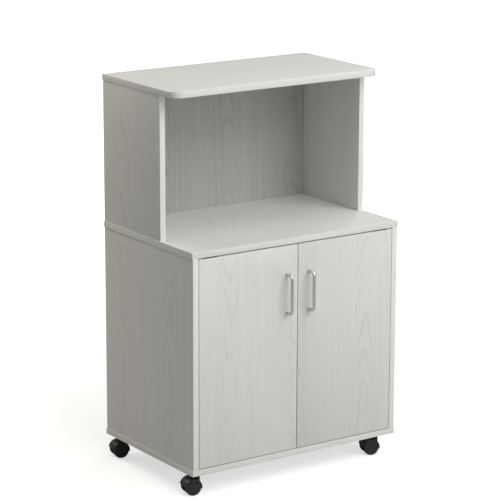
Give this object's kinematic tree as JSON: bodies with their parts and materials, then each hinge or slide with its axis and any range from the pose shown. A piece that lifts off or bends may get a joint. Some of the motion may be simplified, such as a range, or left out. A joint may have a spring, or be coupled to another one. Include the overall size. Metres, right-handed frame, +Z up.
{
  "type": "microwave cart",
  "caption": "Microwave cart with an open hutch above a cabinet with hinged doors and an inner shelf, rolling on swivel casters.",
  "frame": {"origin": "on the floor, in the middle of the cart's footprint: X is the middle of the cabinet, and Y is halfway between the fronts of the handles and the back edge", "axes": "+Z up, the doors and handles face -Y, and +X is on the right of someone who stands in front of the doors"},
  "size_m": [0.6105, 0.426, 0.97],
  "materials": {
    "ash_melamine": "white ash wood-grain melamine over particle board, fine grain, satin",
    "back_board": "thin fibreboard with white ash wood-grain film, satin",
    "zinc_steel": "bright zinc-plated steel",
    "beech_dowel": "bare fluted beech",
    "white_nylon": "moulded white nylon, satin",
    "ferrite": "sintered ferrite, dull dark grey",
    "black_steel": "black painted pressed steel",
    "satin_nickel": "satin nickel, soft highlights",
    "black_nylon": "moulded black nylon, semi-gloss",
    "wheel_nylon": "moulded black nylon wheel, semi-gloss face and scuffed tread"
  },
  "bodies": {
    "cabinet": {"bottom_board": "ash_melamine", "platform": "ash_melamine", "left_side_panel": "ash_melamine", "right_side_panel": "ash_melamine", "lower_back_panel": "back_board", "shelf": "ash_melamine", "shelf_pins": "zinc_steel", "hutch_left_side": "ash_melamine", "hutch_right_side": "ash_melamine", "hutch_top": "ash_melamine", "hutch_back_panel": "back_board", "cam_locks": "zinc_steel", "cam_bolts": "zinc_steel", "dowels": "beech_dowel", "cabinet_hinge_leaves": "zinc_steel", "hinge_pivot_pins": "zinc_steel", "hinge_washers": "white_nylon", "cabinet_hinge_screws": "zinc_steel", "catch_housings": "white_nylon", "catch_magnets": "ferrite", "catch_pole_plates": "zinc_steel", "catch_screws": "zinc_steel", "caster_plates": "black_steel", "caster_kingpins": "black_steel", "caster_screws": "black_steel"},
    "left_door": {"left_door": "ash_melamine", "left_door_hinge_leaves": "zinc_steel", "left_door_hinge_screws": "zinc_steel", "left_handle": "satin_nickel", "left_handle_screws": "zinc_steel", "left_strike_plate": "zinc_steel", "left_strike_screw": "zinc_steel"},
    "right_door": {"right_door": "ash_melamine", "right_door_hinge_leaves": "zinc_steel", "right_door_hinge_screws": "zinc_steel", "right_handle": "satin_nickel", "right_handle_screws": "zinc_steel", "right_strike_plate": "zinc_steel", "right_strike_screw": "zinc_steel"},
    "front_left_caster": {"front_left_housing": "black_nylon", "front_left_axle": "zinc_steel"},
    "front_left_inner_wheel": {"front_left_inner_wheel": "wheel_nylon"},
    "front_left_outer_wheel": {"front_left_outer_wheel": "wheel_nylon"},
    "front_right_caster": {"front_right_housing": "black_nylon", "front_right_axle": "zinc_steel"},
    "front_right_inner_wheel": {"front_right_inner_wheel": "wheel_nylon"},
    "front_right_outer_wheel": {"front_right_outer_wheel": "wheel_nylon"},
    "back_left_caster": {"back_left_housing": "black_nylon", "back_left_axle": "zinc_steel"},
    "back_left_inner_wheel": {"back_left_inner_wheel": "wheel_nylon"},
    "back_left_outer_wheel": {"back_left_outer_wheel": "wheel_nylon"},
    "back_right_caster": {"back_right_housing": "black_nylon", "back_right_axle": "zinc_steel"},
    "back_right_inner_wheel": {"back_right_inner_wheel": "wheel_nylon"},
    "back_right_outer_wheel": {"back_right_outer_wheel": "wheel_nylon"}
  },
  "joints": [
    {"name": "left_door_hinge", "type": "hinge", "parent": "cabinet", "child": "left_door", "pos_m": [-0.2764, -0.182, 0.328], "axis": [0, 0, -1], "range_deg": [0, 110]},
    {"name": "right_door_hinge", "type": "hinge", "parent": "cabinet", "child": "right_door", "pos_m": [0.2764, -0.182, 0.328], "axis": [0, 0, 1], "range_deg": [0, 110]},
    {"name": "front_left_swivel", "type": "hinge", "parent": "cabinet", "child": "front_left_caster", "pos_m": [-0.268, -0.153, 0.04], "axis": [0, 0, 1], "continuous": true},
    {"name": "front_left_inner_wheel_roll", "type": "hinge", "parent": "front_left_caster", "child": "front_left_inner_wheel", "pos_m": [-0.28376, -0.15022, 0.02], "axis": [0.1736, 0.9848, 0], "continuous": true},
    {"name": "front_left_outer_wheel_roll", "type": "hinge", "parent": "front_left_caster", "child": "front_left_outer_wheel", "pos_m": [-0.28376, -0.15022, 0.02], "axis": [0.1736, 0.9848, 0], "continuous": true},
    {"name": "front_right_swivel", "type": "hinge", "parent": "cabinet", "child": "front_right_caster", "pos_m": [0.268, -0.153, 0.04], "axis": [0, 0, 1], "continuous": true},
    {"name": "front_right_inner_wheel_roll", "type": "hinge", "parent": "front_right_caster", "child": "front_right_inner_wheel", "pos_m": [0.25262, -0.14859, 0.02], "axis": [0.2756, 0.9613, 0], "continuous": true},
    {"name": "front_right_outer_wheel_roll", "type": "hinge", "parent": "front_right_caster", "child": "front_right_outer_wheel", "pos_m": [0.25262, -0.14859, 0.02], "axis": [0.2756, 0.9613, 0], "continuous": true},
    {"name": "back_left_swivel", "type": "hinge", "parent": "cabinet", "child": "back_left_caster", "pos_m": [-0.268, 0.179, 0.04], "axis": [0, 0, 1], "continuous": true},
    {"name": "back_left_inner_wheel_roll", "type": "hinge", "parent": "back_left_caster", "child": "back_left_inner_wheel", "pos_m": [-0.28371, 0.18205, 0.02], "axis": [0.1908, 0.9816, 0], "continuous": true},
    {"name": "back_left_outer_wheel_roll", "type": "hinge", "parent": "back_left_caster", "child": "back_left_outer_wheel", "pos_m": [-0.28371, 0.18205, 0.02], "axis": [0.1908, 0.9816, 0], "continuous": true},
    {"name": "back_right_swivel", "type": "hinge", "parent": "cabinet", "child": "back_right_caster", "pos_m": [0.268, 0.179, 0.04], "axis": [0, 0, 1], "continuous": true},
    {"name": "back_right_inner_wheel_roll", "type": "hinge", "parent": "back_right_caster", "child": "back_right_inner_wheel", "pos_m": [0.25241, 0.1826, 0.02], "axis": [0.225, 0.9744, 0], "continuous": true},
    {"name": "back_right_outer_wheel_roll", "type": "hinge", "parent": "back_right_caster", "child": "back_right_outer_wheel", "pos_m": [0.25241, 0.1826, 0.02], "axis": [0.225, 0.9744, 0], "continuous": true}
  ]
}
